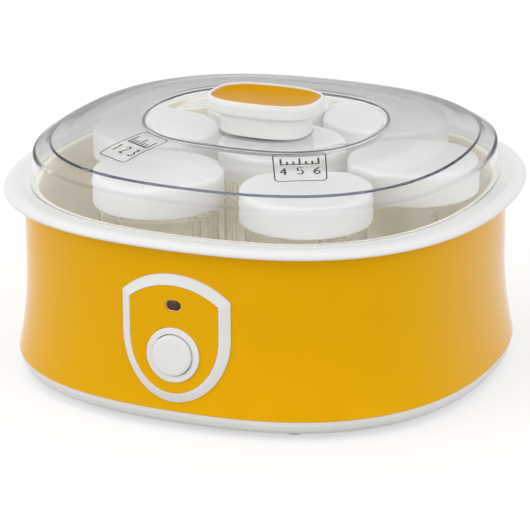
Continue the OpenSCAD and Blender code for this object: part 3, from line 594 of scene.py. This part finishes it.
def make_panel():
    # white frame
    section = [(0, 0.15), (0, 0.55), (0.12, 0.8), (0.4, 0.98), (FRAME_BAND * 0.5, 2.1),
               (FRAME_BAND - 0.45, 3.28), (FRAME_BAND - 0.15, 3.28), (FRAME_BAND, 3.1), (FRAME_BAND, 0.15)]
    rings = []
    for inset, proud in section:
        rings += [proud_point(x, z, proud) for x, z in shield(inset)]
    count = len(rings) // len(section)
    band = new_object("panel_band", rings, bands(count, len(section), True), "white_plastic", 30)
    stand_for(band, "housing", "white_plastic", "panel_frame")

    # coloured field
    outline = shield(FRAME_BAND + HAIR)
    heart = np.array((0, BUTTON_Z + 8))
    scales = np.linspace(1, 0.04, 14)
    rings = [proud_point(x, z, PANEL_T) for s in scales for x, z in heart + (outline - heart) * s]
    rings += [proud_point(x, z, 0.15) for s in scales[::-1] for x, z in heart + (outline - heart) * s]
    faces = bands(count, 2 * len(scales), False)
    faces += [(i, (2 * len(scales) - 1) * count + i, (2 * len(scales) - 1) * count + (i + 1) % count,
               (i + 1) % count) for i in range(count)]
    middle = len(scales)
    faces = [f for f in faces if not (min(f) >= (middle - 1) * count and max(f) < (middle + 1) * count)]
    faces += [tuple((middle - 1) * count + i for i in range(count))[::-1]]
    faces += [tuple(middle * count + i for i in range(count))]
    field = new_object("panel_field", rings, faces, "shell_yellow", 30)
    combine(field, settle(rod(12.55, -14, 8), FRONT), "DIFFERENCE")
    combine(field, settle(rod(14.4, PANEL_T - 1, 8), FRONT), "DIFFERENCE")
    combine(field, settle(oval(4.45, 3.1, -6, 8), FRONT), "DIFFERENCE")
    for x in (-11.8, 11.8):
        for y in (-11, 18):
            post = settle(rod(2, -12, PANEL_T - 1.5, (x, y), 32), FRONT)
            combine(field, post, "UNION")
    stand_for(field, "housing", "shell_yellow", "control_panel")

    # indicator window, with a thin pale lip that is a painted highlight round its edge
    glass = settle(oval(3.9, 2.6, 1, PANEL_T + 0.05, 0.25), FRONT)
    glass.name = "indicator_window"
    glass.data.materials[0] = MATERIALS["window_brown"]
    stand_for(glass, "housing", "window_brown", "led_window")
    lip = settle(oval(4.4, 3.05, 2.2, PANEL_T + 0.18, 0.15), FRONT)
    lip.name = "indicator_highlight_lip"
    lip.data.materials[0] = MATERIALS["window_rim_highlight"]
    combine(lip, settle(oval(3.92, 2.62, 0, 8), FRONT), "DIFFERENCE", 30)
    stand_for(lip, "housing", "window_brown")

    # bezel and button
    face = PANEL_T + 1.1
    ring = settle(turned("button_ring", rounded([
        (10.85, -1.5, 0.1), (12.35, -1.5, 0.1), (12.35, face - 2, 0), (14.25, face - 2, 0),
        (14.25, face, 0.7), (10.85, face, 0.45)], plan=ROUND_PLAN), "white_plastic", steps=128), FRONT)
    stand_for(ring, "housing", "white_plastic", "button_bezel")
    top = face + 2.2
    cap = settle(turned("button_cap", rounded([
        (0, -9, 0), (2, -9, 0.2), (2, -2.8, 0), (12.15, -2.8, 0), (12.15, -1.6, 0), (10.5, -1.6, 0),
        (10.5, top - 0.75, 0.9), (9.3, top - 0.15, 0.8), (6, top, 2), (0, top, 0)],
        closed=False, plan=ROUND_PLAN), "white_plastic", closed=False, steps=128), FRONT)
    stand_for(cap, "power_button", "white_plastic", "power_button")


def oval(half_w, half_h, low, high, fillet=0.0):
    """A flat-sided oval plug at the indicator's place, from low to high above the wall."""
    straight, sides = half_w - half_h, 48
    turns = np.linspace(0, 2 * math.pi, sides, endpoint=False)

    def ring(inset, height):
        reach = half_h - inset
        return [(math.copysign(straight, math.cos(t)) + reach * math.cos(t),
                 LED_RISE + reach * math.sin(t), height) for t in turns]

    levels = [(0, low), (0, high - fillet)]
    if fillet:
        levels += [(fillet * 0.3, high - fillet * 0.3), (fillet, high)]
    points = [p for inset, height in levels for p in ring(inset, height)]
    faces = bands(sides, len(levels), False)
    faces += [tuple(range(sides))[::-1], tuple((len(levels) - 1) * sides + i for i in range(sides))]
    return new_object("oval", points, faces, "white_plastic", 30)


# ---------------------------------------------------------------- lid and knob

MID_R, MID_PLAN = (RECESS_R + LID_TOP_R) / 2, (0.053, 0.030)
SHOULDER_R, SHOULDER_PLAN = RECESS_R + 6, (0.0665, 0.030)
MID_Z, OUTER_Z = RING_TOP - DOME_H * 0.25, RING_TOP - DOME_H * 0.7
# Radius and height of the recess, from the knob to the ring round it
DISH = [(26, RECESS_FLOOR), (42, RECESS_FLOOR + 1.2), (RECESS_R - 4, RECESS_FLOOR + 4.2),
        (RECESS_R - 0.6, RING_TOP - 0.4), (RECESS_R - 0.3, RING_TOP), (RECESS_R + 1.1, RING_TOP)]
# The lid's materials, by slot. EDGE strips at the recess ring and the lid's top edge carry a painted dark
# line of shade, and STEP strips at the skirt's step a painted grey line. CLEAN has no painted dark slant,
# for the dish and the skirt
LID_SLOTS = ["lid_clear", "lid_edge", "lid_step", "lid_wall"]
EDGE, STEP, CLEAN = 1, 2, 3
LID_TOP = [
    (*DISH[0], 60, RECESS_PLAN, CLEAN), (*DISH[1], 60, RECESS_PLAN, CLEAN),
    (*DISH[2], 14, RECESS_PLAN, CLEAN), (*DISH[3], 0.2, RECESS_PLAN, CLEAN),
    (*DISH[4], 0, RECESS_PLAN, EDGE), (*DISH[5], 0, RECESS_PLAN, EDGE),
    (SHOULDER_R, RING_TOP - 0.1, 20, SHOULDER_PLAN), (MID_R, MID_Z, 60, MID_PLAN),
    (LID_TOP_R - 10, OUTER_Z, 40), (LID_TOP_R - 0.4, LID_EDGE + 0.4, 0.4, BODY_PLAN, EDGE),
    (LID_TOP_R + 0.2, LID_EDGE - 0.7, 0.3, BODY_PLAN, EDGE)]


def make_lid():
    skirt_in, foot_in, foot_z = SKIRT_TOP_R - LID_WALL, LID_R - LID_WALL, SEAT + HAIR
    outer = [
        (LID_TOP_R + 3.4, LID_EDGE - 1.8, 9), (SKIRT_TOP_R - 1.4, SKIRT_TOP + 1.3, 0, BODY_PLAN, STEP),
        (SKIRT_TOP_R, SKIRT_TOP + 0.4, 1.3, BODY_PLAN, STEP),
        (SKIRT_TOP_R + 0.2, SKIRT_TOP - 1.4, 0, BODY_PLAN, CLEAN), (LID_R, foot_z, 0.4, BODY_PLAN, CLEAN)]
    inner = [
        (foot_in, foot_z, 0.4, BODY_PLAN, STEP), (foot_in - 0.1, SEAT + 1.1, 0, BODY_PLAN, CLEAN),
        (skirt_in + 0.15, SKIRT_TOP - 2.4, 0, BODY_PLAN, CLEAN), (skirt_in, SKIRT_TOP - 0.8, 1.3),
        (LID_TOP_R + 2.9, LID_EDGE - 4.1, 20), (LID_TOP_R - 0.8, LID_EDGE - 0.1 - LID_WALL, 3.6),
        (LID_TOP_R - 10, OUTER_Z - LID_WALL, 40), (MID_R, MID_Z - LID_WALL, 60, MID_PLAN),
        (SHOULDER_R, RING_TOP - 0.1 - LID_WALL, 20, SHOULDER_PLAN),
        (RECESS_R + 2, RING_TOP - LID_WALL, 4, RECESS_PLAN),
        (RECESS_R - 0.6, RING_TOP - LID_WALL - 0.3, 4, RECESS_PLAN),
        (DISH[2][0] + 0.5, DISH[2][1] - LID_WALL, 16, RECESS_PLAN),
        (DISH[1][0] + 0.3, DISH[1][1] - LID_WALL, 60, RECESS_PLAN),
        (DISH[0][0], DISH[0][1] - LID_WALL, 60, RECESS_PLAN)]
    hole_r = 2.2
    corners = [(hole_r, RECESS_FLOOR, 0, RECESS_PLAN), *LID_TOP, *outer, *inner,
               (hole_r, RECESS_FLOOR - LID_WALL, 0, RECESS_PLAN)]
    fillet, around = 8, 288
    lid = turned("lid", rounded(corners, steps=fillet), LID_SLOTS[0], steps=around, sharp=0)
    for name in LID_SLOTS[1:]:
        lid.data.materials.append(MATERIALS[name])
    slots = np.repeat(fillet_slots(corners, fillet), around)
    lid.data.polygons.foreach_set("material_index", slots)
    stand_for(lid, "lid", "lid_clear", "lid_shell")


def on_lid(x, y):
    """Height of the lid's outer face above a point of the plan."""
    rows = rounded(LID_TOP, closed=False)
    reach = [row[0] * share(row[2:], math.atan2(y, x)) for row in rows]
    return float(np.interp(math.hypot(x, y), reach, rows[:, 1]))


# Corners of the two printed frames on the lid: lower left, upper left, upper right, lower right
LEFT_MARK = [(-60.1, -76.3), (-48.4, -45.1), (-30.4, -55.3), (-41.5, -85.8)]
FRONT_MARK = [(41.0, -85.9), (27.6, -57.4), (51.1, -44.5), (64.0, -74.5)]
FRAME_LINE_W, SIGN_W, PRINT_LIFT = 0.62, 1.0, 0.05
MARK_STEPS = 20
# Plain digits as strokes in a unit square
DIGITS = {
    1: [(0.3, 0.8), (0.6, 1), (0.6, 0)],
    2: [(0, 0.8), (0.25, 1), (0.75, 1), (1, 0.75), (0, 0), (1, 0)],
    3: [(0, 1), (1, 1), (0.45, 0.6), (1, 0.4), (0.9, 0.1), (0.4, 0), (0, 0.12)],
    4: [(0.7, 0), (0.7, 1), (0, 0.35), (1, 0.35)],
    5: [(0.9, 1), (0.1, 1), (0.1, 0.55), (0.7, 0.6), (1, 0.3), (0.6, 0), (0, 0.1)],
    6: [(0.8, 1), (0.2, 0.6), (0, 0.25), (0.4, 0), (0.9, 0.15), (0.9, 0.45), (0.1, 0.4)],
}


def mark_line(corners, points, width):
    """Vertices and faces of a printed line, from points in the frame's own 0..1 square."""
    a, b, c, d = (np.array(p) for p in corners)
    fine = []
    for start, end in zip(points, points[1:]):
        steps = max(1, int(math.dist(start, end) * MARK_STEPS))
        fine += [np.array(start) + (np.array(end) - np.array(start)) * k / steps for k in range(steps)]
    fine.append(np.array(points[-1]))
    flat = [(a * (1 - u) + d * u) * (1 - v) + (b * (1 - u) + c * u) * v for u, v in fine]
    vertices = []
    for i, place in enumerate(flat):
        along = flat[min(i + 1, len(flat) - 1)] - flat[max(i - 1, 0)]
        side = np.array((-along[1], along[0])) / (np.linalg.norm(along) or 1) * width / 2
        for edge in (place - side, place + side):
            vertices.append((*edge, on_lid(*edge) + PRINT_LIFT))
    return vertices, [(2 * i, 2 * i + 2, 2 * i + 3, 2 * i + 1) for i in range(len(flat) - 1)]


def make_marks():
    """Two framed scales with plain numbers, in place of the printed marks of the photograph."""
    r = 0.1
    frame_line = []
    for cx, cy, quarter in ((1 - r, 1 - r, 0), (r, 1 - r, 1), (r, r, 2), (1 - r, r, 3)):
        turns = [(k + 6 * quarter) * math.pi / 12 for k in range(7)]
        frame_line += [(cx + r * math.cos(t), cy + r * math.sin(t)) for t in turns]
    frame_line.append(frame_line[0])

    # The ruled scale, with a longer stroke at every third place
    left, pitch, line_v, short, long = 0.14, 0.12, 0.56, 0.68, 0.8
    scale = [[(left, line_v), (left + 6 * pitch, line_v)]]
    scale += [[(left + pitch * k, line_v), (left + pitch * k, short if k % 3 else long)]
              for k in range(7)]

    start, gap, foot, wide, high = 0.12, 0.32, 0.2, 0.12, 0.22

    def numbers(first):
        return [[(start + gap * n + wide * u, foot + high * v) for u, v in DIGITS[first + n]]
                for n in range(3)]

    for name, corners, first in (("left_mark", LEFT_MARK, 1), ("front_mark", FRONT_MARK, 4)):
        lines = [frame_line, *scale, *numbers(first)]
        vertices, faces = [], []
        for line in lines:
            new, quads = mark_line(corners, line, FRAME_LINE_W if line is frame_line else SIGN_W)
            faces += [tuple(i + len(vertices) for i in quad) for quad in quads]
            vertices += new
        stand_for(new_object(name, vertices, faces, "print_grey", 0), "lid", "switch_black")


def make_knob():
    under = KNOB_TOP - RIM_H
    cup = KNOB_R - RIM_EDGE
    floor = KNOB_TOP - INSERT_DIP - INSERT_T
    foot = RECESS_FLOOR + HAIR
    body = turned("knob", rounded([
        (0, floor, 0), (cup, floor, 0.6), (cup, KNOB_TOP - 0.3, 0.6), (cup + 0.4, KNOB_TOP, 0.3),
        (KNOB_R - 0.4, KNOB_TOP - 0.1, 0.9), (KNOB_R + 0.1, KNOB_TOP - 2.4, 2.5),
        (KNOB_R, under + 1.2, 1.6), (KNOB_R - 2.0, under, 1.4), (NECK_R, under - 0.3, 0.9),
        (NECK_R, foot, 1.2), (0, foot, 0)], closed=False, plan=KNOB_PLAN),
        "white_plastic", closed=False, steps=192)
    combine(body, rod(2, 110, floor - 1.5), "DIFFERENCE")
    stand_for(body, "lid", "white_plastic", "knob_body")
    edge = cup - 0.2
    dish = KNOB_TOP - INSERT_DIP
    insert = turned("knob_dish", rounded([
        (0, dish, 0), (edge * 0.5, dish + INSERT_DIP * 0.03, 30),
        (edge * 0.78, dish + INSERT_DIP * 0.2, 30), (edge * 0.93, dish + INSERT_DIP * 0.52, 20),
        (edge - 0.3, KNOB_TOP - 0.8, 0.4), (edge, KNOB_TOP - 1.2, 0.3), (edge, floor + 0.1, 0.6),
        (0, floor + 0.1, 0)],
        closed=False, steps=8, plan=KNOB_PLAN), "insert_yellow", closed=False, steps=192)
    stand_for(insert, "lid", "shell_yellow", "knob_insert")


# ---------------------------------------------------------------- jars


def make_jars():
    jar_r, wall, lip, neck_in = 30.5, 2.8, 31.3, 26.9
    neck = CAP_FOOT - 1.5
    inside = jar_r - wall
    glass_rows = rounded([
        (0, JAR_BOTTOM, 0), (jar_r - 1.2, JAR_BOTTOM, 4), (jar_r, JAR_BOTTOM + 4, 4), (jar_r, neck - 1, 2),
        (jar_r - 1, neck + 1, 2), (jar_r - 1, JAR_TOP - 5.5, 0.6), (lip, JAR_TOP - 4.3, 1.2),
        (lip, JAR_TOP, 1.2), (neck_in, JAR_TOP, 0.8), (neck_in, neck + 1, 2), (inside, neck - 3, 2),
        (inside, JAR_BOTTOM + 3.2, 5), (0, JAR_BOTTOM + 3, 0)], closed=False, plan=ROUND_PLAN)
    cap_r, cap_in = 33.5, 31.7
    cap_rows = rounded([
        (0, CAP_UNDER, 0), (cap_in, CAP_UNDER, 0.4), (cap_in, CAP_FOOT, 0.5), (cap_r - 0.1, CAP_FOOT, 1.2),
        (cap_r, CAP_TOP - 2.5, 3), (cap_r - 0.6, CAP_TOP - 0.5, 2.0), (cap_r - 3.2, CAP_TOP, 3),
        (0, CAP_TOP, 0)], closed=False, plan=ROUND_PLAN)
    for n, spot in enumerate(JAR_SPOTS, 1):
        jar = turned(f"glass_{n}", glass_rows, "jar_glass", closed=False, steps=96, sharp=0, centre=spot)
        stand_for(jar, f"jar_{n}", "jar_glass", f"jar_{n}")
        cap = turned(f"lid_of_jar_{n}", cap_rows, "cap_plastic", closed=False, steps=96, centre=spot)
        stand_for(cap, f"cap_{n}", "cap_plastic", f"cap_{n}")


# ---------------------------------------------------------------- nodes shown as packed


def dress_cad_nodes():
    slots = {part["node"]: part["material_slot"] for part in frame["record"]["subparts"]}
    for name, node in frame["nodes"].items():
        material = MATERIALS[slots[name]]
        if node.material_slots:
            for place in node.material_slots:
                place.material = material
        else:
            node.data.materials.append(material)


# ---------------------------------------------------------------- studio


FLOOR_GREY, FLOOR_GLOW, FLOOR_REACH = (0.5, 0.5, 0.5, 1), 0.54, 9000
WORLD_LIGHT, WORLD_SEEN = 0.79, 1.0
LAMP_AIM, LAMP_SIZE = Vector((0, 0, 60)), 1300
# Place and power of each lamp
LAMPS = {
    "top_box": ((-500, 0, 1500), 3),
    "left_box": ((-900, -1200, 500), 8),
    "right_box": ((1400, -500, 500), 7),
}


def make_world():
    """White to the camera and in reflections and glass, softer as a light."""
    tree = Tree(bpy.data.worlds.new("studio"), "ShaderNodeOutputWorld")
    shades = []
    for strength in (WORLD_LIGHT, WORLD_SEEN):
        shade = tree.add("ShaderNodeBackground")
        shade.inputs["Color"].default_value = (1, 1, 1, 1)
        shade.inputs["Strength"].default_value = strength
        shades.append(shade.outputs[0])
    scene.world = tree.finish(tree.mix(tree.any_ray("Camera", "Glossy", "Transmission"), *shades))


def make_floor():
    """Grey as a source of bounced light. Seen, it glows up to the background and keeps its shadow."""
    tree = Tree(bpy.data.materials.new("floor"))
    pale = tree.add("ShaderNodeBsdfDiffuse")
    pale.inputs["Color"].default_value = FLOOR_GREY
    glow = tree.add("ShaderNodeEmission")
    glow.inputs["Strength"].default_value = FLOOR_GLOW
    lit = tree.add("ShaderNodeAddShader")
    tree.link(pale.outputs[0], lit.inputs[0])
    tree.link(glow.outputs[0], lit.inputs[1])
    seen = tree.any_ray("Camera", "Glossy", "Transmission")
    MATERIALS["floor"] = tree.finish(tree.mix(seen, pale.outputs[0], lit.outputs[0]))
    corners = [(x * FLOOR_REACH, y * FLOOR_REACH, 0) for x, y in ((-1, -1), (1, -1), (1, 1), (-1, 1))]
    floor = new_object("floor", corners, [(0, 1, 2, 3)], "floor", 0)


def make_lamps():
    for name, (place, power) in LAMPS.items():
        data = bpy.data.lights.new(name, "AREA")
        data.shape = "SQUARE"
        data.size = LAMP_SIZE * MM
        data.energy = power
        lamp = bpy.data.objects.new(name, data)
        scene.collection.objects.link(lamp)
        turn = (Vector(place) - LAMP_AIM).to_track_quat("Z", "Y").to_matrix().to_4x4()
        lamp.matrix_world = Matrix.Translation(Vector(place) * MM) @ turn


make_camera()
dress_cad_nodes()
make_shell()
make_base()
make_collar()
make_chamber()
make_gland()
make_panel()
make_lid()
make_marks()
make_knob()
make_jars()
make_world()
make_floor()
make_lamps()
scene.view_settings.view_transform = "Standard"
# Enough bounces to light the chamber through the lid, the jars and their far walls
scene.cycles.max_bounces = 24
scene.cycles.transparent_max_bounces = 48
scene.cycles.diffuse_bounces = 8
scene.cycles.transmission_bounces = 24
